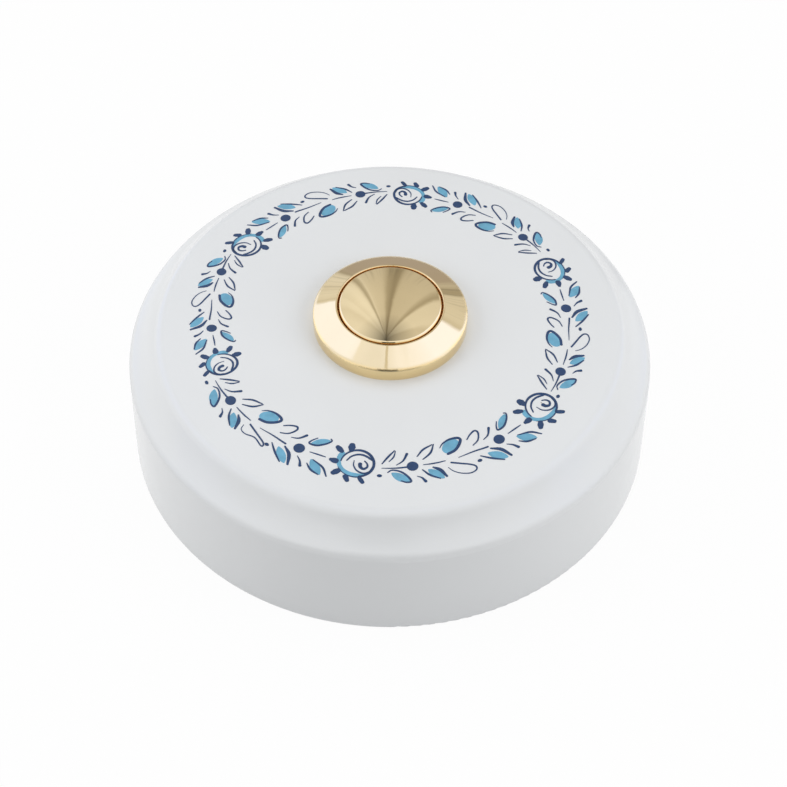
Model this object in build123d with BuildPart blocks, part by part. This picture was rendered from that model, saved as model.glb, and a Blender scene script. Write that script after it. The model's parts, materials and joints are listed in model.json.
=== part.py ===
from build123d import *
import math
import os

os.makedirs("parts", exist_ok=True)

# A bell push: a porcelain cover over a wall plate, clamped by a brass bezel that holds a sprung button.
# The origin is the centre of the back, where it meets the wall, and +Z points away from the wall.

# Porcelain cover
cover_radius = 40.0
cover_height = 23.6
cover_wall = 5.2
cover_top = 4.8
step_height = 7.35
foot_rounding = 0.5
shoulder_rounding = 1.7
cove_radius = 12.0
step_width = 3.6
top_rounding = 2.4
crown_radius = 155.0
land_width = 0.5
cavity_rounding = 4.0
lip_width = 3.4

# Key that stops the cover turning on the wall plate
key_width = 4.0
key_depth = 1.5
key_foot = 0.8
key_clearance = 0.3

# Wall plate
plate_thickness = 4.0
plate_clearance = 0.35
plate_chamfer = 0.4
wall_slot_spacing = 52.0
wall_slot_length = 7.0
wall_slot_width = 4.4
wall_pad_margin = 2.5
wall_pad_height = 0.8
cable_entry_radius = 5.0
cable_entry_x = 16.0
cable_entry_y = -16.0
cable_collar_wall = 1.5
cable_collar_height = 1.5

# Gasket between the plate's rim and the porcelain
gasket_thickness = 1.0
gasket_clearance = 0.1

# Button
button_radius = 7.8
button_rise = 1.3
button_edge_rounding = 0.5
button_drop = 0.1
button_cap = 1.3
button_skirt_wall = 1.2
button_flange_width = 0.7
button_flange_thickness = 1.0
button_travel = 2.0
boss_radius = 3.2
boss_length = 2.4
rest_gap = 0.15

# Bezel
bezel_radius = 11.7
bezel_edge_height = 2.1
bezel_rise = 1.9
bezel_inner_rounding = 0.2
bezel_outer_rounding = 0.15
bezel_gap = 0.2
lip_depth = 2.4
sleeve_wall = 1.0
sleeve_chamfer = 0.4
sleeve_end_gap = 1.0
sleeve_clearance = 0.3

# Seal under the bezel
seal_width = 0.8
seal_thickness = 0.8
seal_clearance = 0.1

# Contact block
block_wall = 4.6
block_headroom = 0.8
block_edge_chamfer = 0.6
web_thickness = 2.0
thread_clearance = 0.05
slot_clearance = 0.5

# Contact strips and their silver tips
strip_width = 6.0
strip_thickness = 0.8
strip_channel = 0.4
strip_channel_clearance = 0.15
strip_inner_x = 4.2
strip_tab_height = 2.4
strip_tab_gap = 0.8
strip_bend = 0.5
tip_x = 6.2
tip_radius = 1.6
tip_height = 1.5
tip_crown = 0.5
tip_shank_radius = 0.8

# Terminals
terminal_x = 22.5
terminal_thread_radius = 1.75
terminal_hole_clearance = 0.2
terminal_head_radius = 2.9
terminal_head_height = 2.0
terminal_slot_width = 0.8
terminal_slot_depth = 0.9
terminal_tip_gap = 0.4
clamp_size = 7.0
clamp_thickness = 1.0
clamp_corner = 0.8
nut_width = 6.0
nut_thickness = 2.4
nut_clearance = 0.15
nut_sink = 0.5

# Screws that hold the block to the plate
block_screw_radius = 1.25
block_screw_grip = 6.0
block_screw_head_radius = 2.4
block_screw_head_sink = 0.3
block_screw_clearance = 0.15
block_screw_drill = 0.8
block_screw_slot_width = 0.6
block_screw_slot_depth = 0.6

# Plunger and the bridge that it carries
stem_radius = 1.7
stem_clearance = 0.05
stem_end_radius = 1.2
stem_end_length = 0.6
pin_radius = 1.9
pin_length = 2.6
pin_clearance = 0.02
pin_end_gap = 0.1
collar_radius = 5.4
collar_thickness = 1.5
bridge_length = 16.6
bridge_width = 5.0
bridge_thickness = 0.8
bridge_hole_clearance = 0.05
bridge_headroom = 0.8
contact_margin = 0.05
bridge_washer_radius = 2.8
bridge_washer_thickness = 0.4
clip_radius = 2.6
clip_thickness = 0.5
clip_groove_radius = 0.85
clip_gap = 1.5

# Return spring
spring_radius = 4.2
spring_wire_radius = 0.4
spring_wire_sides = 6
spring_turns = 4.5
spring_seat_radius = 5.4
spring_seat_thickness = 0.5
spring_seat_clearance = 0.4

# Radii that follow from the fits
top_face_radius = cover_radius - step_width - top_rounding
land_radius = bezel_radius + land_width
rebate_radius = cover_radius - lip_width
cavity_radius = cover_radius - cover_wall
plate_radius = rebate_radius - plate_clearance
bore_radius = button_radius + bezel_gap
button_flange_radius = button_radius + button_flange_width
counterbore_radius = button_flange_radius + bezel_gap
sleeve_radius = counterbore_radius + sleeve_wall
cover_hole_radius = sleeve_radius + sleeve_clearance
seal_inner_radius = sleeve_radius + seal_clearance
seal_outer_radius = seal_inner_radius + seal_width
seal_seat_radius = seal_outer_radius + seal_clearance
socket_radius = sleeve_radius + thread_clearance
block_radius = socket_radius + block_wall
block_screw_y = socket_radius + block_wall / 2
countersink_radius = block_screw_head_radius + block_screw_head_sink
guide_radius = stem_radius + stem_clearance
button_inner_radius = button_radius - button_skirt_wall
terminal_hole_radius = terminal_thread_radius + terminal_hole_clearance

# Places along the contact strips
strip_outer_x = terminal_x + clamp_size / 2 + strip_tab_gap + strip_thickness
strip_length = strip_outer_x - strip_inner_x
strip_middle_x = (strip_outer_x + strip_inner_x) / 2

# Heights that follow from the stack, from the wall up
strip_bottom = plate_thickness - strip_channel
strip_top = strip_bottom + strip_thickness
tip_top = strip_top + tip_height
bridge_bottom = tip_top + button_travel + contact_margin
bridge_top = bridge_bottom + bridge_thickness
clip_top = bridge_bottom - bridge_washer_thickness
clip_bottom = clip_top - clip_thickness
stem_end = clip_bottom - stem_end_length
web_bottom = bridge_top + bridge_headroom
web_top = web_bottom + web_thickness
spring_bottom = web_top + spring_seat_thickness
sleeve_bottom = web_top + sleeve_end_gap
clamp_top = strip_top + clamp_thickness
terminal_head_top = clamp_top + terminal_head_height
nut_top = nut_sink + nut_thickness
block_screw_top = plate_thickness + block_screw_grip

# Heights that follow from the cover's top face, downwards and upwards
cavity_ceiling = cover_height - cover_top
block_top = cavity_ceiling - block_headroom
rebate_height = plate_thickness + gasket_thickness
wall_height = cover_height - step_height
crown_centre_height = cover_height - crown_radius
crest_height = crown_centre_height + math.sqrt((crown_radius - top_rounding) ** 2
                                               - (top_face_radius - land_radius) ** 2)
bezel_edge_top = cover_height + bezel_edge_height
bezel_top = bezel_edge_top + bezel_rise
lip_bottom = bezel_top - lip_depth
button_edge = bezel_top - button_drop
button_top = button_edge + button_rise
cap_bottom = button_edge - button_cap
button_flange_top = lip_bottom - rest_gap
button_flange_bottom = button_flange_top - button_flange_thickness
boss_bottom = cap_bottom - boss_length
pin_top = boss_bottom + pin_length
spring_top = boss_bottom - collar_thickness

# Porcelain cover: one turned section, with the shoulder, cove, crest and crowned top as tangent arcs
with BuildPart() as porcelain_cover:
    with BuildSketch(Plane.XZ):
        with BuildLine():
            shoulder_circle = CenterArc((cover_radius - shoulder_rounding, wall_height), shoulder_rounding, 0, 360,
                                        mode=Mode.PRIVATE)
            crest_circle = CenterArc((top_face_radius, crest_height), top_rounding, 0, 360, mode=Mode.PRIVATE)
            cove = ConstrainedArcs((shoulder_circle, Tangency.OUTSIDE), (crest_circle, Tangency.OUTSIDE),
                                   radius=cove_radius, selector=lambda arcs: arcs.sort_by(Axis.X)[-1])
            cove_foot = cove.vertices().sort_by(Axis.Y)[0]
            cove_head = cove.vertices().sort_by(Axis.Y)[-1]
            crown_centre = Vector(land_radius, crown_centre_height)
            crown_edge = crown_centre + (Vector(top_face_radius, crest_height) - crown_centre).normalized() * crown_radius
            Line((rebate_radius, 0), (cover_radius - foot_rounding, 0))
            TangentArc((cover_radius - foot_rounding, 0), (cover_radius, foot_rounding), tangent=(1, 0))
            Line((cover_radius, foot_rounding), (cover_radius, wall_height))
            TangentArc((cover_radius, wall_height), cove_foot, tangent=(0, 1))
            crown = TangentArc((land_radius, cover_height), crown_edge, tangent=(1, 0))
            TangentArc(crown_edge, cove_head, tangent=crown % 1)
            Polyline((land_radius, cover_height),
                     (seal_seat_radius, cover_height),
                     (seal_seat_radius, cover_height - seal_thickness),
                     (cover_hole_radius, cover_height - seal_thickness),
                     (cover_hole_radius, cavity_ceiling),
                     (cavity_radius - cavity_rounding, cavity_ceiling))
            TangentArc((cavity_radius - cavity_rounding, cavity_ceiling),
                       (cavity_radius, cavity_ceiling - cavity_rounding), tangent=(1, 0))
            Polyline((cavity_radius, cavity_ceiling - cavity_rounding),
                     (cavity_radius, rebate_height),
                     (rebate_radius, rebate_height),
                     (rebate_radius, 0))
        make_face()
    revolve(axis=Axis.Z)
    with BuildSketch(Plane.XY.offset(key_foot)):
        with Locations((0, key_depth - plate_radius)):
            Rectangle(key_width, key_depth + plate_clearance + lip_width / 2, align=(Align.CENTER, Align.MAX))
    extrude(amount=plate_thickness - key_clearance - key_foot)
porcelain_cover.part.label = "porcelain_cover"
export_step(porcelain_cover.part, "parts/porcelain_cover.step")

# Bezel: turned brass, with a conical face, an upright edge and the sleeve that screws into the contact block
with BuildPart() as bezel_ring:
    with BuildSketch(Plane.XZ):
        with BuildLine():
            Polyline((bore_radius, lip_bottom),
                     (bore_radius, bezel_top),
                     (bezel_radius, bezel_edge_top),
                     (bezel_radius, cover_height),
                     (sleeve_radius, cover_height),
                     (sleeve_radius, sleeve_bottom),
                     (counterbore_radius, sleeve_bottom),
                     (counterbore_radius, lip_bottom),
                     close=True)
        make_face()
        corners = vertices()
        fillet(corners.sort_by_distance((bore_radius, bezel_top))[0], bezel_inner_rounding)
        fillet(corners.sort_by_distance((bezel_radius, bezel_edge_top))[0], bezel_outer_rounding)
        chamfer(corners.sort_by_distance((sleeve_radius, sleeve_bottom))[0], sleeve_chamfer)
    revolve(axis=Axis.Z)
bezel_ring.part.label = "bezel_ring"
export_step(bezel_ring.part, "parts/bezel_ring.step")

# Seal under the bezel's flange
with BuildPart() as bezel_seal:
    with BuildSketch(Plane.XY.offset(cover_height - seal_thickness)):
        Circle(seal_outer_radius)
        Circle(seal_inner_radius, mode=Mode.SUBTRACT)
    extrude(amount=seal_thickness)
bezel_seal.part.label = "bezel_seal"
export_step(bezel_seal.part, "parts/bezel_seal.step")

# Gasket on the plate's rim
with BuildPart() as rim_gasket:
    with BuildSketch(Plane.XY.offset(plate_thickness)):
        Circle(plate_radius)
        Circle(cavity_radius + gasket_clearance, mode=Mode.SUBTRACT)
    extrude(amount=gasket_thickness)
rim_gasket.part.label = "rim_gasket"
export_step(rim_gasket.part, "parts/rim_gasket.step")

# Wall plate: a moulded disc with screw slots, the cable entry, channels for the strips and pockets for the nuts
with BuildPart() as wall_plate:
    with BuildSketch():
        Circle(plate_radius)
    extrude(amount=plate_thickness)
    chamfer(edges().filter_by(GeomType.CIRCLE).sort_by(Axis.Z)[0], plate_chamfer)
    with BuildSketch(Plane.XY.offset(plate_thickness)):
        with GridLocations(0, wall_slot_spacing, 1, 2):
            SlotOverall(wall_slot_length + 2 * wall_pad_margin, wall_slot_width + 2 * wall_pad_margin, rotation=90)
    extrude(amount=wall_pad_height)
    with BuildSketch(Plane.XY.offset(plate_thickness)):
        with Locations((cable_entry_x, cable_entry_y)):
            Circle(cable_entry_radius + cable_collar_wall)
    extrude(amount=cable_collar_height)
    with BuildSketch():
        with GridLocations(0, wall_slot_spacing, 1, 2):
            SlotOverall(wall_slot_length, wall_slot_width, rotation=90)
        with Locations((cable_entry_x, cable_entry_y)):
            Circle(cable_entry_radius)
        with Locations((-terminal_x, 0), (terminal_x, 0)):
            Circle(terminal_hole_radius)
        with Locations((0, -block_screw_y), (0, block_screw_y)):
            Circle(block_screw_radius + block_screw_clearance)
        with Locations((0, key_depth + key_clearance - plate_radius)):
            Rectangle(key_width + 2 * key_clearance, key_depth + key_clearance + plate_clearance,
                      align=(Align.CENTER, Align.MAX))
    extrude(amount=plate_thickness + max(wall_pad_height, cable_collar_height), mode=Mode.SUBTRACT)
    with BuildSketch():
        with Locations((-terminal_x, 0), (terminal_x, 0)):
            RegularPolygon(nut_width / 2 + nut_clearance, 6, major_radius=False)
    extrude(amount=nut_top, mode=Mode.SUBTRACT)
    with BuildSketch(Plane.XY.offset(strip_bottom)):
        with Locations((-strip_middle_x, 0), (strip_middle_x, 0)):
            Rectangle(strip_length + 2 * strip_channel_clearance, strip_width + 2 * strip_channel_clearance)
    extrude(amount=strip_channel, mode=Mode.SUBTRACT)
    with Locations((0, -block_screw_y, 0), (0, block_screw_y, 0)):
        Cone(countersink_radius, 0, countersink_radius, align=(Align.CENTER, Align.CENTER, Align.MIN),
             mode=Mode.SUBTRACT)
wall_plate.part.label = "wall_plate"
export_step(wall_plate.part, "parts/wall_plate.step")

# Contact block: the threaded socket above, the plunger's guide in the web and the bridge's slot below
with BuildPart() as contact_block:
    with BuildSketch(Plane.XY.offset(plate_thickness)):
        Circle(block_radius)
    extrude(amount=block_top - plate_thickness)
    chamfer(edges().filter_by(GeomType.CIRCLE).sort_by(Axis.Z)[-1], block_edge_chamfer)
    with BuildSketch(Plane.XY.offset(web_top)):
        Circle(socket_radius)
    extrude(amount=block_top - web_top, mode=Mode.SUBTRACT)
    with BuildSketch(Plane.XY.offset(web_bottom)):
        Circle(guide_radius)
    extrude(amount=web_thickness, mode=Mode.SUBTRACT)
    with BuildSketch(Plane.XY.offset(plate_thickness)):
        Rectangle(2 * block_radius, strip_width + 2 * slot_clearance)
    extrude(amount=web_bottom - plate_thickness, mode=Mode.SUBTRACT)
    with BuildSketch(Plane.XY.offset(plate_thickness)):
        with Locations((0, -block_screw_y), (0, block_screw_y)):
            Circle(block_screw_radius + thread_clearance)
    extrude(amount=block_screw_grip + block_screw_drill, mode=Mode.SUBTRACT)
contact_block.part.label = "contact_block"
export_step(contact_block.part, "parts/contact_block.step")

# Countersunk screws that hold the block to the plate
with BuildPart() as block_screws:
    for screw_y in (-block_screw_y, block_screw_y):
        with BuildSketch(Plane.XZ.offset(-screw_y)):
            with BuildLine():
                Polyline((0, block_screw_head_sink),
                         (block_screw_head_radius, block_screw_head_sink),
                         (block_screw_radius, countersink_radius - block_screw_radius),
                         (block_screw_radius, block_screw_top),
                         (0, block_screw_top),
                         close=True)
            make_face()
        revolve(axis=Axis((0, screw_y, 0), (0, 0, 1)))
    with BuildSketch(Plane.XY.offset(block_screw_head_sink)):
        with Locations((0, -block_screw_y), (0, block_screw_y)):
            Rectangle(2 * block_screw_head_radius, block_screw_slot_width)
    extrude(amount=block_screw_slot_depth, mode=Mode.SUBTRACT)
block_screws.part.label = "block_screws"
export_step(block_screws.part, "parts/block_screws.step")


def contact_strip(side):
    """Flat strip with an upturned outer end, a hole for the tip's shank and one for the terminal screw."""
    with BuildPart() as strip:
        with BuildSketch(Plane.XZ):
            with BuildLine():
                Polyline((strip_inner_x, strip_bottom),
                         (strip_outer_x, strip_bottom),
                         (strip_outer_x, strip_top + strip_tab_height),
                         (strip_outer_x - strip_thickness, strip_top + strip_tab_height),
                         (strip_outer_x - strip_thickness, strip_top),
                         (strip_inner_x, strip_top),
                         close=True)
            make_face()
            bend_outside = vertices().sort_by_distance((strip_outer_x, strip_bottom))[0]
            fillet(bend_outside, strip_bend)
        extrude(amount=strip_width / 2, both=True)
        with BuildSketch(Plane.XY.offset(strip_bottom)):
            with Locations((tip_x, 0)):
                Circle(tip_shank_radius)
            with Locations((terminal_x, 0)):
                Circle(terminal_hole_radius)
        extrude(amount=strip_thickness, mode=Mode.SUBTRACT)
    return strip.part if side > 0 else mirror(strip.part, about=Plane.YZ, mode=Mode.PRIVATE)


contact_right = contact_strip(1)
contact_right.label = "contact_right"
export_step(contact_right, "parts/contact_right.step")
contact_left = contact_strip(-1)
contact_left.label = "contact_left"
export_step(contact_left, "parts/contact_left.step")

# Silver contact rivets, with a crowned head on the strip and a shank through it
with BuildPart() as contact_tips:
    for tip in (-tip_x, tip_x):
        with BuildSketch(Plane.XZ):
            with BuildLine():
                Polyline((tip, tip_top),
                         (tip, strip_bottom),
                         (tip + tip_shank_radius, strip_bottom),
                         (tip + tip_shank_radius, strip_top),
                         (tip + tip_radius, strip_top),
                         (tip + tip_radius, tip_top - tip_crown))
                TangentArc((tip, tip_top), (tip + tip_radius, tip_top - tip_crown), tangent=(1, 0))
            make_face()
        revolve(axis=Axis((tip, 0, 0), (0, 0, 1)))
contact_tips.part.label = "contact_tips"
export_step(contact_tips.part, "parts/contact_tips.step")

# Square washers that clamp the bell wires
with BuildPart() as terminal_clamps:
    with BuildSketch(Plane.XY.offset(strip_top)):
        with Locations((-terminal_x, 0), (terminal_x, 0)):
            RectangleRounded(clamp_size, clamp_size, clamp_corner)
            Circle(terminal_hole_radius, mode=Mode.SUBTRACT)
    extrude(amount=clamp_thickness)
terminal_clamps.part.label = "terminal_clamps"
export_step(terminal_clamps.part, "parts/terminal_clamps.step")

# Cheese-head terminal screws
with BuildPart() as terminal_screws:
    with BuildSketch(Plane.XY.offset(clamp_top)):
        with Locations((-terminal_x, 0), (terminal_x, 0)):
            Circle(terminal_head_radius)
    extrude(amount=terminal_head_height)
    with BuildSketch(Plane.XY.offset(terminal_tip_gap)):
        with Locations((-terminal_x, 0), (terminal_x, 0)):
            Circle(terminal_thread_radius)
    extrude(amount=clamp_top - terminal_tip_gap)
    with BuildSketch(Plane.XY.offset(terminal_head_top)):
        with Locations((-terminal_x, 0), (terminal_x, 0)):
            Rectangle(2 * terminal_head_radius, terminal_slot_width)
    extrude(amount=-terminal_slot_depth, mode=Mode.SUBTRACT)
terminal_screws.part.label = "terminal_screws"
export_step(terminal_screws.part, "parts/terminal_screws.step")

# Hexagon nuts held in the pockets of the wall plate
with BuildPart() as terminal_nuts:
    with BuildSketch(Plane.XY.offset(nut_sink)):
        with Locations((-terminal_x, 0), (terminal_x, 0)):
            RegularPolygon(nut_width / 2, 6, major_radius=False)
            Circle(terminal_thread_radius + thread_clearance, mode=Mode.SUBTRACT)
    extrude(amount=nut_thickness)
terminal_nuts.part.label = "terminal_nuts"
export_step(terminal_nuts.part, "parts/terminal_nuts.step")

# Washer that the return spring stands on
with BuildPart() as spring_seat:
    with BuildSketch(Plane.XY.offset(web_top)):
        Circle(spring_seat_radius)
        Circle(stem_radius + spring_seat_clearance, mode=Mode.SUBTRACT)
    extrude(amount=spring_seat_thickness)
spring_seat.part.label = "spring_seat"
export_step(spring_seat.part, "parts/spring_seat.step")

# Return spring: a helix from the seat to the plunger's collar, ground flat at both ends
with BuildPart() as return_spring:
    with BuildLine() as spring_path:
        Helix((spring_top - spring_bottom) / spring_turns, spring_top - spring_bottom, spring_radius,
              center=(0, 0, spring_bottom))
    with BuildSketch(Plane(origin=spring_path.line @ 0, z_dir=spring_path.line % 0)):
        RegularPolygon(spring_wire_radius, spring_wire_sides)
    sweep(path=spring_path.line, is_frenet=True)
    split(bisect_by=Plane.XY.offset(spring_bottom), keep=Keep.TOP)
    split(bisect_by=Plane.XY.offset(spring_top), keep=Keep.BOTTOM)
return_spring.part.label = "return_spring"
export_step(return_spring.part, "parts/return_spring.step")

# Button: a domed brass cap with a skirt, a flange that stays under the bezel's lip and a boss for the plunger
with BuildPart() as push_button:
    with BuildSketch(Plane.XZ):
        with BuildLine():
            TangentArc((0, button_top), (button_radius, button_edge), tangent=(1, 0))
            Polyline((button_radius, button_edge),
                     (button_radius, button_flange_top),
                     (button_flange_radius, button_flange_top),
                     (button_flange_radius, button_flange_bottom),
                     (button_inner_radius, button_flange_bottom),
                     (button_inner_radius, cap_bottom),
                     (boss_radius, cap_bottom),
                     (boss_radius, boss_bottom),
                     (pin_radius, boss_bottom),
                     (pin_radius, pin_top),
                     (0, pin_top),
                     (0, button_top))
        make_face()
        fillet(vertices().sort_by_distance((button_radius, button_edge))[0], button_edge_rounding)
    revolve(axis=Axis.Z)
push_button.part.label = "push_button"
export_step(push_button.part, "parts/push_button.step")

# Plunger: a pin in the button's boss, a collar for the spring, the guided stem and a grooved end for the bridge
with BuildPart() as plunger:
    with BuildSketch(Plane.XZ):
        with BuildLine():
            Polyline((0, pin_top - pin_end_gap),
                     (pin_radius - pin_clearance, pin_top - pin_end_gap),
                     (pin_radius - pin_clearance, boss_bottom),
                     (collar_radius, boss_bottom),
                     (collar_radius, spring_top),
                     (stem_radius, spring_top),
                     (stem_radius, bridge_top),
                     (stem_end_radius, bridge_top),
                     (stem_end_radius, clip_top),
                     (clip_groove_radius, clip_top),
                     (clip_groove_radius, clip_bottom),
                     (stem_end_radius, clip_bottom),
                     (stem_end_radius, stem_end),
                     (0, stem_end),
                     close=True)
        make_face()
    revolve(axis=Axis.Z)
plunger.part.label = "plunger"
export_step(plunger.part, "parts/plunger.step")

# Bridge that joins the two contact tips at the end of the travel
with BuildPart() as contact_bridge:
    with BuildSketch(Plane.XY.offset(bridge_bottom)):
        SlotOverall(bridge_length, bridge_width)
        Circle(stem_end_radius + bridge_hole_clearance, mode=Mode.SUBTRACT)
    extrude(amount=bridge_thickness)
contact_bridge.part.label = "contact_bridge"
export_step(contact_bridge.part, "parts/contact_bridge.step")

# Washer under the bridge
with BuildPart() as bridge_washer:
    with BuildSketch(Plane.XY.offset(clip_top)):
        Circle(bridge_washer_radius)
        Circle(stem_end_radius + bridge_hole_clearance, mode=Mode.SUBTRACT)
    extrude(amount=bridge_washer_thickness)
bridge_washer.part.label = "bridge_washer"
export_step(bridge_washer.part, "parts/bridge_washer.step")

# Open clip in the plunger's groove
with BuildPart() as bridge_clip:
    with BuildSketch(Plane.XY.offset(clip_bottom)):
        Circle(clip_radius)
        Circle(clip_groove_radius + bridge_hole_clearance, mode=Mode.SUBTRACT)
        Rectangle(clip_gap, clip_radius, align=(Align.CENTER, Align.MIN), mode=Mode.SUBTRACT)
    extrude(amount=clip_thickness)
bridge_clip.part.label = "bridge_clip"
export_step(bridge_clip.part, "parts/bridge_clip.step")
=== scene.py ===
import json
import math

import bmesh
import bpy
from mathutils import Matrix, Vector


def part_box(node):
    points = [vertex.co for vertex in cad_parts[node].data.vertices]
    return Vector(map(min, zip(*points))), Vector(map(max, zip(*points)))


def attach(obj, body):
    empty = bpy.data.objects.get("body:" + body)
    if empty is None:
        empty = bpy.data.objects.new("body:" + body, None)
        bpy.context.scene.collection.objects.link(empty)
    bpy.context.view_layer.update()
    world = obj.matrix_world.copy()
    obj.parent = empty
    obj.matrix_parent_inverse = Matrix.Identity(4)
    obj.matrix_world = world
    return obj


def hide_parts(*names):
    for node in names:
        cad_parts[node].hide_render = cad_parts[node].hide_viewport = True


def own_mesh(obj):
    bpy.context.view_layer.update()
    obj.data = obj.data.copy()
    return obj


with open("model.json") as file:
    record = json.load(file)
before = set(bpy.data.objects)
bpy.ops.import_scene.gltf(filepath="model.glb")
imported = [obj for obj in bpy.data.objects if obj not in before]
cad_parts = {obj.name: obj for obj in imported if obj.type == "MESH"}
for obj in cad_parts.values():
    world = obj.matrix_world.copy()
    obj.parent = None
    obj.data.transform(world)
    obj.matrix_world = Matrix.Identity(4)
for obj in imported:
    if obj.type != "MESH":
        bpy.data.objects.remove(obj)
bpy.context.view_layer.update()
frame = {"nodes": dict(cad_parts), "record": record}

scene = bpy.context.scene
MM = 0.001

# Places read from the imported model
top_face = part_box("bezel_seal")[1].z
bezel_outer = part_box("bezel_ring")[1].x
spring_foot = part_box("return_spring")[0].z
spring_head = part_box("return_spring")[1].z
spring_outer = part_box("return_spring")[1].x

# Flat land round the bezel, crown of the cover's top face and bore of the bezel, as in the CAD source
land_width = 0.5 * MM
crown_land = bezel_outer + land_width
crown_radius = 155 * MM
bezel_bore = 8.0 * MM

# Camera, fitted to the photograph's outline; its lens and sensor are in mm
camera_elevation = math.radians(49.23)
camera_distance = 387.6 * MM
camera_pivot_height = 12 * MM
camera_aim = Vector((0.60, -4.44, 12)) * MM
camera_roll = math.radians(0.57)
camera_lens = 114.25
camera_sensor = 36
camera_clip = 10 * MM

# Soft boxes, with their power in watts and their place and width in metres, and the fill of the world
world_fill = 0.485
right_lamp_power = 1.18
right_lamp_place = Vector((0.50, -0.20, 0.30))
left_lamp_power = 1.22
left_lamp_place = Vector((-0.55, -0.06, 0.30))
top_lamp_power = 0.80
top_lamp_place = Vector((0.0, 0.28, 0.55))
lamp_width = 0.5

# Bounces for the brass that mirrors itself in the gap round the button
mirror_bounces = 12

# Colours, as linear values
WHITE = (1.0, 1.0, 1.0)
NAVY = (0.018, 0.055, 0.152)
LIGHT_BLUE = (0.156, 0.436, 0.630)
PORCELAIN = (0.855, 0.872, 0.885)
SPECK = (0.50, 0.46, 0.42)
BISQUE = (0.80, 0.78, 0.74)
BRASS = (0.90, 0.71, 0.39)
# Painted shade and painted reflection: the darker, deeper orange of the bezel's bore, where brass mirrors
# brass in the gap round the button
BORE_PAINTED_SHADE = (0.95, 0.56, 0.18)

# Most of a noise lies between these two values
noise_low = 0.3
noise_high = 0.7


# Node helpers

def new_material(name):
    material = bpy.data.materials.new(name)
    material.use_nodes = True
    tree = material.node_tree
    return material, tree, tree.nodes["Principled BSDF"]


def glowing_material(name):
    """A material whose tree holds an output alone, with the socket that takes its surface."""
    material = bpy.data.materials.new(name)
    material.use_nodes = True
    tree = material.node_tree
    tree.nodes.clear()
    output = add_node(tree, "ShaderNodeOutputMaterial")
    return material, tree, output.inputs["Surface"]


def add_node(tree, kind, inputs=None, **settings):
    made = tree.nodes.new(kind)
    for name, value in settings.items():
        setattr(made, name, value)
    for name, value in (inputs or {}).items():
        made.inputs[name].default_value = value
    return made


def rgba(colour):
    return (*colour, 1.0)


def dimmed(colour, share):
    return [part * share for part in colour]


def own_place(tree):
    """Place on the piece, in the part's own frame."""
    return add_node(tree, "ShaderNodeTexCoord").outputs["Object"]


def noise(tree, scale, detail=3.0, stretch=None):
    """Noise in the part's own frame: scale is in features per metre, and stretch is along each axis."""
    place = own_place(tree)
    if stretch is not None:
        mapping = add_node(tree, "ShaderNodeMapping", {"Scale": stretch})
        tree.links.new(place, mapping.inputs["Vector"])
        place = mapping.outputs["Vector"]
    made = add_node(tree, "ShaderNodeTexNoise", {"Scale": scale, "Detail": detail})
    tree.links.new(place, made.inputs["Vector"])
    return made.outputs["Fac"]


def noise_along(tree, value, scale):
    """Noise along one value, with so many features in each unit of it."""
    made = add_node(tree, "ShaderNodeTexNoise", {"Scale": scale, "Detail": 2.0}, noise_dimensions="1D")
    tree.links.new(value, made.inputs["W"])
    return made.outputs["Fac"]


def axes_of(tree, vector):
    made = add_node(tree, "ShaderNodeSeparateXYZ")
    tree.links.new(vector, made.inputs["Vector"])
    return made.outputs


def from_axis(tree, vector):
    """Distance from the vertical axis."""
    flat = add_node(tree, "ShaderNodeVectorMath", {1: (1, 1, 0)}, operation="MULTIPLY")
    tree.links.new(vector, flat.inputs[0])
    radius = add_node(tree, "ShaderNodeVectorMath", operation="LENGTH")
    tree.links.new(flat.outputs["Vector"], radius.inputs[0])
    return radius.outputs["Value"]


def combined(tree, operation, first, second):
    """Two values put through one operation. The second may be a plain number."""
    made = add_node(tree, "ShaderNodeMath", operation=operation)
    tree.links.new(first, made.inputs[0])
    if isinstance(second, float):
        made.inputs[1].default_value = second
    else:
        tree.links.new(second, made.inputs[1])
    return made.outputs["Value"]


def ranged(tree, value, start, end, low=0.0, high=1.0):
    """The low value up to the start, the high one from the end on, and even between them."""
    limits = {"From Min": start, "From Max": end, "To Min": low, "To Max": high}
    made = add_node(tree, "ShaderNodeMapRange", limits)
    tree.links.new(value, made.inputs["Value"])
    return made.outputs["Result"]


def towards(tree, share, value, goal):
    """A value that goes over to a plain number, by its share."""
    made = add_node(tree, "ShaderNodeMapRange", {"To Max": goal})
    tree.links.new(share, made.inputs["Value"])
    tree.links.new(value, made.inputs["To Min"])
    return made.outputs["Result"]


def value_between(tree, factor, low, high):
    """A number that drifts with a noise."""
    return ranged(tree, factor, noise_low, noise_high, low, high)


def colour_between(tree, factor, low, high):
    """A colour that drifts with a noise."""
    ramp = add_node(tree, "ShaderNodeValToRGB")
    ends = ramp.color_ramp.elements
    for end, position, colour in ((ends[0], noise_low, low), (ends[1], noise_high, high)):
        end.position = position
        end.color = rgba(colour)
    tree.links.new(factor, ramp.inputs["Fac"])
    return ramp.outputs["Color"]


def laid_over(tree, share, under, colour):
    """A plain colour over another one, by its share."""
    made = add_node(tree, "ShaderNodeMix", data_type="RGBA")
    ends = [socket for socket in made.inputs if socket.type == "RGBA"]
    ends[1].default_value = rgba(colour)
    tree.links.new(share, made.inputs["Factor"])
    tree.links.new(under, ends[0])
    return next(socket for socket in made.outputs if socket.type == "RGBA")


def bump(tree, shader, height, strength, depth, under=None):
    made = add_node(tree, "ShaderNodeBump", {"Strength": strength, "Distance": depth})
    tree.links.new(height, made.inputs["Height"])
    if under is not None:
        tree.links.new(under, made.inputs["Normal"])
    tree.links.new(made.outputs["Normal"], shader.inputs["Normal"])
    return made.outputs["Normal"]


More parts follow.
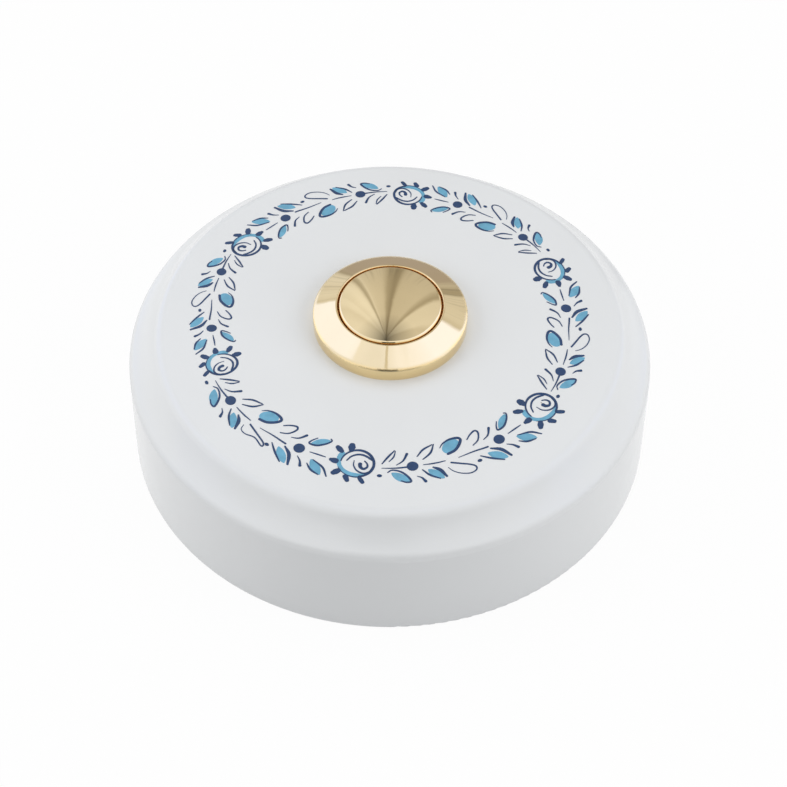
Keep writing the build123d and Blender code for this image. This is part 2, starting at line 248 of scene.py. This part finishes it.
def soft_edges(tree, share, radius):
    """The surface's normal, turned over the given radius at its edges, by the share of it."""
    soft = add_node(tree, "ShaderNodeBevel", {"Radius": radius}, samples=12)
    made = add_node(tree, "ShaderNodeMix", data_type="VECTOR")
    hard_end, soft_end = [socket for socket in made.inputs if socket.type == "VECTOR"][-2:]
    tree.links.new(share, made.inputs["Factor"])
    tree.links.new(add_node(tree, "ShaderNodeNewGeometry").outputs["Normal"], hard_end)
    tree.links.new(soft.outputs["Normal"], soft_end)
    return next(socket for socket in made.outputs if socket.type == "VECTOR")


# Materials

def porcelain_material():
    """White glaze: a faint drift of tone, a soft waviness and a few pin-sized specks.

    The foot is unglazed."""
    tone_scale = 45
    thin_glaze = dimmed(PORCELAIN, 0.985)
    speck_scale = 95.0
    speck_edge = (0.018, 0.014)
    glaze_line = (0.35 * MM, 0.2 * MM)
    gloss_scale = 180
    glaze_roughness = (0.17, 0.23)
    bisque_roughness = 0.65
    wave_scale = 220
    wave_strength = 0.05
    wave_depth = 0.2 * MM
    material, tree, shader = new_material("porcelain")
    place = own_place(tree)
    tone = colour_between(tree, noise(tree, tone_scale), thin_glaze, PORCELAIN)
    cells = add_node(tree, "ShaderNodeTexVoronoi", {"Scale": speck_scale})
    tree.links.new(place, cells.inputs["Vector"])
    tone = laid_over(tree, ranged(tree, cells.outputs["Distance"], *speck_edge), tone, SPECK)
    foot = ranged(tree, axes_of(tree, place)["Z"], *glaze_line)
    tree.links.new(laid_over(tree, foot, tone, BISQUE), shader.inputs["Base Color"])
    gloss = value_between(tree, noise(tree, gloss_scale), *glaze_roughness)
    tree.links.new(towards(tree, foot, gloss, bisque_roughness), shader.inputs["Roughness"])
    bump(tree, shader, noise(tree, wave_scale, detail=2), wave_strength, wave_depth)
    return material


def print_material(name, colour):
    """Ceramic ink fired on the glaze, a little uneven in strength."""
    tone_scale = 900
    thin_ink = dimmed(colour, 0.86)
    thick_ink = dimmed(colour, 1.1)
    gloss_scale = 300
    roughness = (0.2, 0.28)
    grain_scale = 1500
    grain_strength = 0.04
    grain_depth = 0.05 * MM
    material, tree, shader = new_material(name)
    tone = colour_between(tree, noise(tree, tone_scale, detail=4), thin_ink, thick_ink)
    tree.links.new(tone, shader.inputs["Base Color"])
    tree.links.new(value_between(tree, noise(tree, gloss_scale), *roughness), shader.inputs["Roughness"])
    bump(tree, shader, noise(tree, grain_scale), grain_strength, grain_depth)
    return material


def brass_material():
    """Polished brass: a mirror, a little wavy from the buffing, with faint turning marks round the axis.

    The bezel's outer edge is buffed soft. Its bore isn't buffed and is satin, and it is painted a darker,
    deeper orange: painted shade and a painted reflection of brass in brass in the gap round the button."""
    bore_start = (bezel_bore - 0.12 * MM, bezel_bore - 0.08 * MM)
    bore_end = (bezel_bore + 0.10 * MM, bezel_bore + 0.02 * MM)
    edge_start = (bezel_outer - 1.4 * MM, bezel_outer - 1.1 * MM)
    edge_softness = 0.85 * MM
    tone_scale = 260
    dull_brass = dimmed(BRASS, 0.97)
    gloss_scale = 500
    mirror_roughness = (0.03, 0.05)
    bore_roughness = 0.45
    wave_scale = 230
    wave_strength = 0.06
    wave_depth = 0.14 * MM
    mark_scale = 6000.0
    mark_strength = 0.02
    mark_depth = 0.01 * MM
    material, tree, shader = new_material("polished_brass")
    shader.inputs["Metallic"].default_value = 1.0
    radius = from_axis(tree, own_place(tree))
    bore = combined(tree, "MULTIPLY", ranged(tree, radius, *bore_start), ranged(tree, radius, *bore_end))
    tone = colour_between(tree, noise(tree, tone_scale), dull_brass, BRASS)
    # The bore's darker, deeper orange is painted shade and a painted reflection of the gap round the button
    tree.links.new(laid_over(tree, bore, tone, BORE_PAINTED_SHADE), shader.inputs["Base Color"])
    gloss = value_between(tree, noise(tree, gloss_scale), *mirror_roughness)
    tree.links.new(towards(tree, bore, gloss, bore_roughness), shader.inputs["Roughness"])
    buffed = soft_edges(tree, ranged(tree, radius, *edge_start), edge_softness)
    wavy = bump(tree, shader, noise(tree, wave_scale, detail=2), wave_strength, wave_depth, buffed)
    bump(tree, shader, noise_along(tree, radius, mark_scale), mark_strength, mark_depth, wavy)
    return material


def metal_material(name, colour, roughness, grain, stretch):
    """Worked metal: tone and gloss vary along the direction in which it was rolled, drawn or turned."""
    dark_streak = dimmed(colour, 0.82)
    streak_strength = 0.08
    streak_depth = 0.03 * MM
    smooth_share = 0.8
    rough_share = 1.3
    material, tree, shader = new_material(name)
    shader.inputs["Metallic"].default_value = 1.0
    streaks = noise(tree, grain, detail=4, stretch=stretch)
    tree.links.new(colour_between(tree, streaks, dark_streak, colour), shader.inputs["Base Color"])
    gloss = value_between(tree, streaks, roughness * smooth_share, roughness * rough_share)
    tree.links.new(gloss, shader.inputs["Roughness"])
    bump(tree, shader, streaks, streak_strength, streak_depth)
    return material


def moulded_material(name, colour, roughness, grain):
    """Moulded plastic or rubber: a fine grain in the skin and a slight drift of tone."""
    tone_scale = 120
    dark_tone = dimmed(colour, 0.88)
    grain_strength = 0.15
    grain_depth = 0.04 * MM
    smooth_share = 0.85
    rough_share = 1.15
    material, tree, shader = new_material(name)
    tone = colour_between(tree, noise(tree, tone_scale), dark_tone, colour)
    tree.links.new(tone, shader.inputs["Base Color"])
    gloss = value_between(tree, noise(tree, grain), roughness * smooth_share, roughness * rough_share)
    tree.links.new(gloss, shader.inputs["Roughness"])
    bump(tree, shader, noise(tree, grain), grain_strength, grain_depth)
    return material


along_x = (0.1, 1.0, 1.0)
evenly = (1.0, 1.0, 1.0)
finishes = {
    "porcelain": porcelain_material(),
    "polished_brass": brass_material(),
    "sheet_brass": metal_material("sheet_brass", (0.78, 0.58, 0.28), 0.28, 3000, along_x),
    "bronze": metal_material("bronze", (0.72, 0.45, 0.26), 0.30, 3000, along_x),
    "silver": metal_material("silver", (0.90, 0.89, 0.87), 0.22, 2500, evenly),
    "plated_steel": metal_material("plated_steel", (0.70, 0.71, 0.72), 0.25, 2200, evenly),
    "spring_steel": metal_material("spring_steel", (0.52, 0.53, 0.55), 0.30, 2600, evenly),
    "moulded_white": moulded_material("moulded_white", (0.78, 0.77, 0.73), 0.42, 2200),
    "moulded_black": moulded_material("moulded_black", (0.022, 0.021, 0.02), 0.38, 2200),
    "rubber": moulded_material("rubber", (0.045, 0.045, 0.047), 0.75, 3200),
}


def dress(piece, material):
    piece.data.materials.clear()
    piece.data.materials.append(material)


def object_from(mesh, name):
    data = bpy.data.meshes.new(name)
    mesh.to_mesh(data)
    made = bpy.data.objects.new(name, data)
    scene.collection.objects.link(made)
    return made


for row in frame["record"]["subparts"]:
    dress(frame["nodes"][row["node"]], finishes[row["material_slot"]])


# Blue print: a wreath of six sprays on the top face, each a branch that ends in a rose.
# In a spray, s runs counter-clockwise along the wreath and d points outwards, both in mm.
# The sprays were laid one by one, so each has its own azimuth, clockwise from the far side, and its own
# radius at its start and at its end.

sprays = (((307.7, 28.7), (252.7, 26.45)),
          ((254.9, 27.95), (190.7, 27.35)),
          ((190.7, 27.35), (126.4, 27.45)),
          ((126.6, 26.75), (65.3, 27.25)),
          ((63.8, 27.6), (6.4, 27.9)),
          ((366.5, 28.25), (307.1, 27.85)))
creased_spray = 1
spray_length = 28.6
ink_foot = -0.03
navy_proud = 0.035
blue_proud = 0.02
brush_spread = 1.12
leaf_fullness = 0.75

# Points along a stroke, by how much it turns, along a quarter of its round end and round a spot
stroke_steps = 14
line_steps = 24
curl_steps = 30
loop_steps = 36
ring_steps = 48
cap_steps = 4
spot_steps = 20


def crown_height(x, y):
    """Height of the top face at a place outside the bezel's land."""
    out = math.hypot(x, y) - crown_land
    return top_face - crown_radius + math.sqrt(crown_radius ** 2 - out ** 2)


class InkLayer:
    """Thin shapes of one colour, each a closed sliver of ink on the top face."""

    def __init__(self, name, proud):
        self.name = name
        self.mesh = bmesh.new()
        self.foot = ink_foot * MM
        self.head = proud * MM

    def row(self, points, level):
        """Corners at the given level above the top face."""
        return [self.mesh.verts.new((x, y, crown_height(x, y) + level)) for x, y in points]

    def sliver(self, outline):
        """A closed sliver between the ink's foot and its head."""
        low = self.row(outline, self.foot)
        high = self.row(outline, self.head)
        self.mesh.faces.new(high)
        self.mesh.faces.new(low[::-1])
        count = len(outline)
        for k in range(count):
            self.mesh.faces.new((low[k], low[(k + 1) % count], high[(k + 1) % count], high[k]))

    def ribbon(self, left, right):
        """A closed strip between two rows of points."""
        rows = [self.row(left, self.foot), self.row(right, self.foot), self.row(right, self.head),
                self.row(left, self.head)]
        for k in range(len(left) - 1):
            for a, b in ((0, 1), (1, 2), (2, 3), (3, 0)):
                self.mesh.faces.new((rows[a][k], rows[a][k + 1], rows[b][k + 1], rows[b][k]))
        self.mesh.faces.new([row[0] for row in rows])
        self.mesh.faces.new([row[-1] for row in rows[::-1]])

    def piece(self, material):
        bmesh.ops.recalc_face_normals(self.mesh, faces=self.mesh.faces)
        made = object_from(self.mesh, self.name)
        dress(made, material)
        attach(made, "housing")


navy = InkLayer("print_navy", navy_proud)
blue = InkLayer("print_light_blue", blue_proud)


def curve_through(points, steps):
    """A smooth curve through three or more points."""
    path = [Vector(p) for p in points]
    path = [2 * path[0] - path[1], *path, 2 * path[-1] - path[-2]]
    spans = len(path) - 3
    made = []
    for k in range(steps + 1):
        where = min(k * spans / steps, spans - 1e-6)
        i = int(where)
        t = where - i
        a, b, c, d = path[i:i + 4]
        made.append(0.5 * (2 * b + (c - a) * t + (2 * a - 5 * b + 4 * c - d) * t * t
                           + (3 * b - a - 3 * c + d) * t ** 3))
    return made


class Spray:
    """One spray of the wreath, placed between its two ends."""

    def __init__(self, start, end):
        self.start_angle, self.start_radius = start
        self.sweep = start[0] - end[0]
        self.rise = end[1] - start[1]

    def place(self, point):
        share = point[0] / spray_length
        angle = math.radians(self.start_angle - share * self.sweep)
        radius = (self.start_radius + share * self.rise + point[1]) * MM
        return radius * math.sin(angle), radius * math.cos(angle)

    def stroke(self, points, widths, steps=stroke_steps):
        """A navy brush line through the points; widths are its breadth at the start, middle and end."""
        path = curve_through(points, steps)
        breadth = curve_through([(0, width) for width in widths], steps)
        left = []
        right = []
        for k, here in enumerate(path):
            ahead = path[min(k + 1, steps)] - path[max(k - 1, 0)]
            side = Vector((-ahead.y, ahead.x)).normalized() * breadth[k].y * brush_spread / 2
            left.append(here + side)
            right.append(here - side)
        edges = [self.round_ends(path, left), self.round_ends(path, right)]
        navy.ribbon(*[[self.place(p) for p in edge] for edge in edges])

    def round_ends(self, path, edge):
        """One edge of a stroke, with its quarter of the round cap at each end."""
        caps = []
        for end, inner in ((0, 1), (-1, -2)):
            side = edge[end] - path[end]
            out = (path[end] - path[inner]).normalized() * side.length
            turns = [math.radians(90) * k / cap_steps for k in range(1, cap_steps)]
            caps.append([path[end] + side * math.cos(a) + out * math.sin(a) for a in turns])
        return caps[0][::-1] + edge + caps[1]

    def leaf(self, base, tip, breadth):
        """A light blue field from base to tip, pointed at both ends."""
        start = Vector(base)
        along = Vector(tip) - start
        side = Vector((-along.y, along.x)).normalized() * breadth
        shares = [k / stroke_steps for k in range(stroke_steps + 1)]
        bulge = [math.sin(math.pi * share) ** leaf_fullness for share in shares[:-1]] + [0.0]
        there = [start + along * share - side * out for share, out in zip(shares, bulge)]
        back = [start + along * share + side * out for share, out in zip(shares, bulge)][-2:0:-1]
        blue.sliver([self.place(p) for p in there + back])

    def spot(self, layer, centre, radius, stretch=1.0, turn=0.0):
        """A round or oval spot; turn is the direction of its long axis."""
        outline = []
        for k in range(spot_steps):
            angle = 2 * math.pi * k / spot_steps
            corner = Vector((radius * stretch * math.cos(angle), radius * math.sin(angle)))
            outline.append(self.place(Vector(centre) + Matrix.Rotation(turn, 2) @ corner))
        layer.sliver(outline)


# Brush widths at the start, middle and end of a stroke, in mm
LINE = (0.10, 0.20, 0.12)
RISING = (0.08, 0.18, 0.24)
EDGE = (0.14, 0.27, 0.16)
BOLD = (0.22, 0.46, 0.26)
COMMA = (0.10, 0.22, 0.36)
FADING = (0.36, 0.38, 0.10)
SWIRL = (0.10, 0.22, 0.28)
CORE = (0.50, 0.30, 0.16)
BODY = (0.28, 0.36, 0.16)
VEIL = (0.18, 0.16, 0.06)
RISING_EDGE = (0.18, 0.26, 0.28)

# Rose, drawn from its middle. The body is a round line through the given angles. The crescent has angles in
# degrees with its outer and inner radius there, and the veil goes along its first points. Each sepal has
# its root, its tip and its brush widths.
rose_middle = Vector((29.05, 0.0))
rose_radius = 2.27
body_angles = range(75, -190, -15)
crescent = ((48, 2.22, 2.16), (65, 2.30, 1.88), (85, 2.36, 1.70), (110, 2.42, 1.72), (135, 2.50, 1.88),
            (155, 2.64, 2.06), (175, 2.86, 2.22), (195, 3.04, 2.32), (208, 3.02, 2.40), (216, 2.66, 2.46))
veil_points = 6
petals = (([(-0.5, -0.4), (-0.42, 0.45), (0.15, 1.25), (1.05, 1.6), (1.8, 1.25), (2.15, 0.5)], SWIRL),
          ([(0.4, 0.08), (0.5, 0.55), (0.95, 0.85), (1.4, 0.5), (1.35, -0.05), (0.95, -0.5)], CORE),
          ([(-1.5, -0.25), (-1.0, -1.05), (-0.1, -1.52), (0.9, -1.42), (1.95, -0.8)], RISING_EDGE))
sepals = (((-2.95, 0.20), (-3.65, 0.14), (0.80, 0.74, 0.46)),
          ((-2.20, 1.70), (-2.72, 2.25), (0.66, 0.78, 0.62)),
          ((-1.10, 2.50), (-0.80, 3.10), (0.66, 0.60, 0.50)),
          ((0.65, 2.45), (1.10, 3.12), (0.48, 0.54, 0.46)),
          ((-2.55, -1.62), (-3.35, -2.18), (0.56, 0.76, 0.60)),
          ((-1.28, -2.25), (-1.34, -2.90), (0.74, 1.02, 0.86)))


def on_rose(angle, radius):
    turn = math.radians(angle)
    return rose_middle + radius * Vector((math.cos(turn), math.sin(turn)))


def draw_rose(spray):
    outer = curve_through([on_rose(angle, radius) for angle, radius, _ in crescent], loop_steps)
    inner = curve_through([on_rose(angle, radius) for angle, _, radius in crescent], loop_steps)
    blue.sliver([spray.place(p) for p in outer + inner[::-1]])
    spray.stroke([on_rose(angle, rose_radius) for angle in body_angles], BODY, ring_steps)
    spray.stroke([on_rose(angle, radius) for angle, radius, _ in crescent[:veil_points]], VEIL, line_steps)
    for points, brush in petals:
        spray.stroke([rose_middle + Vector(p) for p in points], brush, line_steps)
    for root, tip, brush in sepals:
        start = rose_middle + Vector(root)
        end = rose_middle + Vector(tip)
        spray.stroke([start, (start + end) / 2, end], brush)


def draw_stem(spray):
    dot_radius = 0.25
    dot_stretch = 1.3
    spray.stroke([(3.8, 0.45), (5.5, 0.42), (7.2, 0.3)], RISING)
    spray.stroke([(9.4, 0.18), (11.0, 0.22), (12.4, 0.18)], LINE)
    spray.stroke([(14.3, 0.2), (16.5, 0.06), (18.7, 0.26)], RISING)
    spray.stroke([(22.3, -0.05), (23.5, -0.07), (24.6, -0.02)], LINE)
    for middle, radius in (((7.92, 0.22), 0.79), ((20.7, 0.0), 0.8)):
        spray.spot(navy, middle, radius)
    for middle in ((3.55, 1.75), (16.7, 1.82)):
        spray.spot(navy, middle, dot_radius, dot_stretch)


def draw_outer_leaves(spray, creased):
    spray.leaf((5.05, 1.2), (7.35, 2.85), 0.62)
    spray.stroke([(4.6, 1.15), (5.2, 0.75), (6.3, 1.05), (7.1, 1.85), (7.5, 2.75), (6.9, 2.88), (6.3, 2.6)],
                 EDGE, line_steps)
    spray.stroke([(8.35, 2.0), (8.9, 2.35), (9.25, 3.0)], COMMA)
    spray.leaf((9.85, 1.05), (11.65, 3.0), 0.6)
    spray.stroke([(9.15, 1.0), (9.95, 2.05), (11.1, 2.9)], EDGE)
    spray.stroke([(10.6, 0.85), (11.4, 1.5), (11.95, 2.75)], BOLD)
    if creased:
        loop = [(12.3, 1.4), (12.6, 2.2), (13.5, 2.35), (14.8, 1.95), (16.3, 2.5), (16.2, 1.9), (14.5, 1.2),
                (12.9, 0.7)]
    else:
        loop = [(12.5, 1.4), (12.95, 2.15), (13.8, 2.85), (14.9, 3.25), (15.75, 3.0), (15.85, 2.4),
                (15.2, 1.8), (14.2, 1.25), (13.1, 0.7)]
    spray.stroke(loop, RISING, loop_steps)
    spray.leaf((18.15, 1.15), (20.15, 3.25), 0.62)
    spray.stroke([(17.1, 1.15), (18.2, 2.2), (19.5, 3.3)], EDGE)
    spray.stroke([(18.9, 0.7), (20.0, 1.6), (20.6, 3.2)], BOLD)
    spray.stroke([(21.1, 1.3), (21.7, 1.9), (22.05, 2.65)], COMMA)
    spray.leaf((22.9, 1.0), (24.85, 3.15), 0.62)
    spray.stroke([(22.7, 1.9), (23.5, 2.7), (24.6, 3.15)], EDGE)
    spray.stroke([(23.2, 1.0), (24.8, 1.8), (25.65, 3.1)], EDGE)


def draw_inner_leaves(spray):
    round_leaf_turn = math.radians(-25)
    spray.stroke([(3.8, -0.3), (4.6, -1.5), (5.55, -2.6)], EDGE)
    spray.stroke([(4.75, -0.7), (5.4, -1.5), (5.7, -2.5)], LINE)
    spray.stroke([(5.75, -0.1), (6.7, -0.8), (7.35, -1.95)], COMMA)
    spray.stroke([(8.75, -1.35), (9.8, -2.4), (11.3, -3.0)], EDGE)
    spray.stroke([(9.5, -0.75), (10.8, -1.7), (11.55, -3.0)], EDGE)
    spray.spot(blue, (13.95, -2.0), 1.03, 1.45, round_leaf_turn)
    spray.stroke([(13.15, -0.85), (14.3, -1.15), (15.3, -1.95), (15.75, -2.7), (15.2, -3.1), (14.0, -3.15),
                  (12.9, -2.75), (12.3, -2.15)], FADING, loop_steps)
    spray.stroke([(17.0, -0.93), (18.0, -1.4), (18.6, -2.2), (18.75, -2.8), (18.35, -3.1), (17.4, -2.75),
                  (16.65, -2.2)], EDGE, curl_steps)
    spray.stroke([(18.8, -1.1), (19.8, -1.5), (20.6, -2.45)], COMMA)
    spray.leaf((21.75, -1.4), (24.3, -2.95), 0.58)
    spray.stroke([(22.3, -2.7), (21.7, -2.0), (21.55, -1.4), (22.7, -1.45), (23.9, -2.2), (24.5, -2.9),
                  (24.25, -3.2)], EDGE, curl_steps)


for k, (start, end) in enumerate(sprays):
    spray = Spray(start, end)
    draw_stem(spray)
    draw_outer_leaves(spray, k == creased_spray)
    draw_inner_leaves(spray)
    draw_rose(spray)

blue.piece(print_material("light_blue_ink", LIGHT_BLUE))
navy.piece(print_material("navy_ink", NAVY))


# Return spring: round wire with closed, flattened end turns

wire_radius = 0.4 * MM
spring_turns = 6.0
end_turns = 0.9
points_a_turn = 40
points_a_section = 10


def spring_height(turn):
    """Height of the wire's middle: the end turns lie flat on their seats, and the pitch eases in and out."""
    low = spring_foot + wire_radius
    high = spring_head - wire_radius
    share = (turn - end_turns) / (spring_turns - 2 * end_turns)
    share = min(max(share, 0.0), 1.0)
    return low + (high - low) * share * share * (3 - 2 * share)


def spring_piece():
    coil_radius = spring_outer - wire_radius
    mesh = bmesh.new()
    rings = []
    steps = int(spring_turns * points_a_turn)
    for k in range(steps + 1):
        turn = spring_turns * k / steps
        angle = 2 * math.pi * turn
        out = Vector((math.cos(angle), math.sin(angle), 0))
        middle = out * coil_radius + Vector((0, 0, spring_height(turn)))
        ring = []
        for j in range(points_a_section):
            a = 2 * math.pi * j / points_a_section
            spoke = out * math.cos(a) + Vector((0, 0, math.sin(a)))
            ring.append(mesh.verts.new(middle + wire_radius * spoke))
        rings.append(ring)
    for near, far in zip(rings, rings[1:]):
        for j in range(points_a_section):
            i = (j + 1) % points_a_section
            mesh.faces.new((near[j], near[i], far[i], far[j]))
    mesh.faces.new(rings[0])
    mesh.faces.new(rings[-1][::-1])
    bmesh.ops.recalc_face_normals(mesh, faces=mesh.faces)
    for face in mesh.faces:
        face.smooth = len(face.verts) == 4
    made = object_from(mesh, "coil_spring")
    dress(made, finishes["spring_steel"])
    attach(made, "housing")
    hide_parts("return_spring")
    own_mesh(made)


spring_piece()


# Floor and light

floor_half = 3.0
floor_shadow_share = 0.05
floor_bounce = 0.60
floor_white = 0.95


def seen_directly(tree):
    """1 for rays from the camera, from mirrors and through glass, 0 for the rays that carry the light."""
    path = add_node(tree, "ShaderNodeLightPath").outputs
    seen = combined(tree, "MAXIMUM", path["Is Camera Ray"], path["Is Glossy Ray"])
    return combined(tree, "MAXIMUM", seen, path["Is Transmission Ray"])


def floor_material():
    """Paper that glows white where it is seen, apart from the share that keeps the shadow."""
    material, tree, surface = glowing_material("white_floor")
    seen = seen_directly(tree)
    paper = add_node(tree, "ShaderNodeBsdfDiffuse")
    tree.links.new(ranged(tree, seen, 0.0, 1.0, floor_bounce, floor_white), paper.inputs["Color"])
    glow = add_node(tree, "ShaderNodeEmission", {"Color": rgba(WHITE), "Strength": 1.0})
    mixed = add_node(tree, "ShaderNodeMixShader")
    tree.links.new(combined(tree, "MULTIPLY", seen, 1 - floor_shadow_share), mixed.inputs["Fac"])
    tree.links.new(paper.outputs["BSDF"], mixed.inputs[1])
    tree.links.new(glow.outputs["Emission"], mixed.inputs[2])
    tree.links.new(mixed.outputs["Shader"], surface)
    return material


def white_floor():
    mesh = bmesh.new()
    bmesh.ops.create_grid(mesh, x_segments=1, y_segments=1, size=floor_half)
    made = object_from(mesh, "floor")
    dress(made, floor_material())
    made.visible_glossy = False


def white_world():
    world = bpy.data.worlds.new("studio")
    scene.world = world
    world.use_nodes = True
    tree = world.node_tree
    background = tree.nodes["Background"]
    background.inputs["Color"].default_value = rgba(WHITE)
    level = ranged(tree, seen_directly(tree), 0.0, 1.0, world_fill, 1.0)
    tree.links.new(level, background.inputs["Strength"])


def soft_box(name, place, power):
    lamp = bpy.data.lights.new(name, "AREA")
    lamp.energy = power
    lamp.size = lamp_width
    made = bpy.data.objects.new(name, lamp)
    made.location = place
    aim = Vector((0, 0, top_face / 2)) - place
    made.rotation_euler = aim.to_track_quat("-Z", "Y").to_euler()
    made.visible_glossy = False
    scene.collection.objects.link(made)


# Tent that the brass mirrors, seen by mirrors only: pale cloth that hangs in folds from a hub above, with
# plain panels laid over it. Each fold is an azimuth in degrees, from the far side to the right, and the
# brightness of the cloth there. Each panel faces a direction, and takes over where a ray's share of that
# direction goes from its start to its end. Its last two values are its half width beside the front seam
# and its colour.

tent_radius = 1.0
tent_segments = 96
tent_rings = 48
hub_tilt = (math.radians(-7.3), math.radians(-2.7), 0)
hub_reach = 0.36
hub_falloff = 0.55
cloth_heights = (-0.05, 0.8)
low_cloth = 0.80
creases_a_radian = 26.0
crease_noise = (0.5, 0.68)
crease_level = 0.80
crease_heights = (0.40, 0.60)
tent_folds = ((-180, 1.0), (-65, 0.92), (-50, 0.90), (-39, 0.83), (-35, 0.92), (-31.5, 0.94), (-29.5, 0.88),
              (-27, 0.90), (-23, 0.95), (-20, 0.93), (-18.8, 0.89), (-16.3, 0.38), (-14.3, 0.84),
              (-12.8, 0.76), (-10, 0.73), (-4, 0.70), (-2.6, 0.66), (0, 0.48), (4.6, 0.35), (5.8, 0.40),
              (7.6, 0.61), (9, 0.65), (26.5, 0.68), (30, 0.53), (32.2, 0.46), (33.6, 0.52), (36, 0.82),
              (46, 0.82), (57, 0.84), (64, 0.70), (180, 1.0))


def within_angle(degrees):
    """Share of a direction at the given angle from it."""
    return math.cos(math.radians(degrees))


whole = 2.0
panel_core = 0.85
seam_place = -0.045
right_panel = ((1, -0.95, -0.39), 0.024, 0.049, whole, (1.18, 1.33, 1.97))
left_panel = ((-1, -0.5, -0.47), 0.041, 0.056, whole, (1.14, 1.29, 1.88))
side_paper = ((0, -0.653, -0.757), -0.52, -0.44, whole, (1.30, 1.30, 1.32))
front_panel = ((0, -1, 0), 0.0, 0.22, whole, (1.10, 1.20, 1.62))
front_shade = ((-0.3, -1, 0), 0.19, 0.26, whole, (0.96, 1.03, 1.28))
front_paper = ((0, -1, 0), 0.30, 0.45, whole, (1.04, 1.04, 1.06))
lens_shade = ((0, -0.94, -0.34), 0.64, 0.70, 0.75, (0.30, 0.28, 0.26))
lens_slit = ((0, -1, 0), 0.62, 0.68, 0.21, (0.02, 0.02, 0.02))
far_panel = ((0.118, 0.963, -0.242), within_angle(29), within_angle(25), whole, (0.447, 0.428, 0.459))
front_seam = ((0, -0.23, 0.973), within_angle(14), within_angle(12), 0.020, (0.74, 0.74, 0.76))
low_paper = ((0, 0, -1), 0.19, 0.23, whole, WHITE)
tent_panels = (right_panel, left_panel, side_paper, front_panel, front_shade, front_paper, lens_shade,
               lens_slit, far_panel, front_seam, low_paper)


def cloth_colour(level):
    """Pale cloth, cooler where more light comes through."""
    return level, level * (0.90 + 0.16 * level), level * (0.70 + 0.53 * level)


def fold_colours(tree, azimuth):
    folds = add_node(tree, "ShaderNodeValToRGB")
    stops = folds.color_ramp.elements
    stops.remove(stops[1])
    for k, (angle, level) in enumerate(tent_folds):
        share = (angle + 180) / 360
        stop = stops.new(share) if k else stops[0]
        stop.position = share
        stop.color = rgba(cloth_colour(level))
    tree.links.new(ranged(tree, azimuth, -math.pi, math.pi), folds.inputs["Fac"])
    return folds.outputs["Color"]


def fine_creases(tree, azimuth, height):
    """Level of the cloth in its fine creases, which run out higher up."""
    creases = noise_along(tree, azimuth, creases_a_radian)
    level = ranged(tree, creases, *crease_noise, 1.0, crease_level)
    return towards(tree, ranged(tree, height, *crease_heights), level, 1.0)


def folded_cloth(tree, direction):
    """The folds by azimuth: darker near the floor and towards the hub, with fine creases low down."""
    axes = axes_of(tree, direction)
    azimuth = combined(tree, "ARCTAN2", axes["X"], axes["Y"])
    rise = ranged(tree, axes["Z"], *cloth_heights, low_cloth, 1.0)
    creased = combined(tree, "MULTIPLY", rise, fine_creases(tree, azimuth, axes["Z"]))
    near_hub = ranged(tree, from_axis(tree, direction), 0.0, hub_reach)
    level = combined(tree, "MULTIPLY", creased, combined(tree, "POWER", near_hub, hub_falloff))
    cloth = add_node(tree, "ShaderNodeVectorMath", operation="SCALE")
    tree.links.new(fold_colours(tree, azimuth), cloth.inputs["Vector"])
    tree.links.new(level, cloth.inputs["Scale"])
    return cloth.outputs["Vector"]


def with_panel(tree, direction, beside, colour, panel):
    """The cloth with one plain panel laid over it."""
    facing, start, end, half_width, shade = panel
    share = add_node(tree, "ShaderNodeVectorMath", {1: Vector(facing).normalized()}, operation="DOT_PRODUCT")
    tree.links.new(direction, share.inputs[0])
    along = ranged(tree, share.outputs["Value"], start, end)
    across = ranged(tree, beside, half_width, half_width * panel_core)
    return laid_over(tree, combined(tree, "MULTIPLY", along, across), colour, shade)


def tent_material():
    material, tree, surface = glowing_material("tent_cloth")
    outward = add_node(tree, "ShaderNodeVectorMath", operation="NORMALIZE")
    tree.links.new(own_place(tree), outward.inputs[0])
    direction = outward.outputs["Vector"]
    hung = add_node(tree, "ShaderNodeVectorRotate", {"Rotation": hub_tilt}, rotation_type="EULER_XYZ",
                    invert=True)
    tree.links.new(direction, hung.inputs["Vector"])
    colour = folded_cloth(tree, hung.outputs["Vector"])
    off_seam = combined(tree, "SUBTRACT", axes_of(tree, direction)["X"], seam_place)
    beside = add_node(tree, "ShaderNodeMath", operation="ABSOLUTE")
    tree.links.new(off_seam, beside.inputs[0])
    for panel in tent_panels:
        colour = with_panel(tree, direction, beside.outputs["Value"], colour, panel)
    glow = add_node(tree, "ShaderNodeEmission")
    tree.links.new(colour, glow.inputs["Color"])
    tree.links.new(glow.outputs["Emission"], surface)
    return material


def folded_tent():
    mesh = bmesh.new()
    bmesh.ops.create_uvsphere(mesh, u_segments=tent_segments, v_segments=tent_rings, radius=tent_radius)
    made = object_from(mesh, "tent")
    made.location = (0, 0, top_face)
    dress(made, tent_material())
    made.visible_camera = False
    made.visible_diffuse = False
    made.visible_transmission = False
    made.visible_volume_scatter = False
    made.visible_shadow = False


white_floor()
white_world()
folded_tent()
soft_box("lamp_right", right_lamp_place, right_lamp_power)
soft_box("lamp_left", left_lamp_place, left_lamp_power)
soft_box("lamp_top", top_lamp_place, top_lamp_power)


# Camera

def photo_camera():
    data = bpy.data.cameras.new("camera")
    data.lens = camera_lens
    data.sensor_width = camera_sensor
    data.clip_start = camera_clip
    made = bpy.data.objects.new("camera", data)
    place = Vector((0, -camera_distance * math.cos(camera_elevation),
                    camera_pivot_height + camera_distance * math.sin(camera_elevation)))
    turn = (camera_aim - place).to_track_quat("-Z", "Y").to_matrix() @ Matrix.Rotation(camera_roll, 3, "Z")
    made.matrix_world = Matrix.Translation(place) @ turn.to_4x4()
    scene.collection.objects.link(made)
    scene.camera = made


photo_camera()
scene.view_settings.view_transform = "Standard"
scene.cycles.glossy_bounces = mirror_bounces
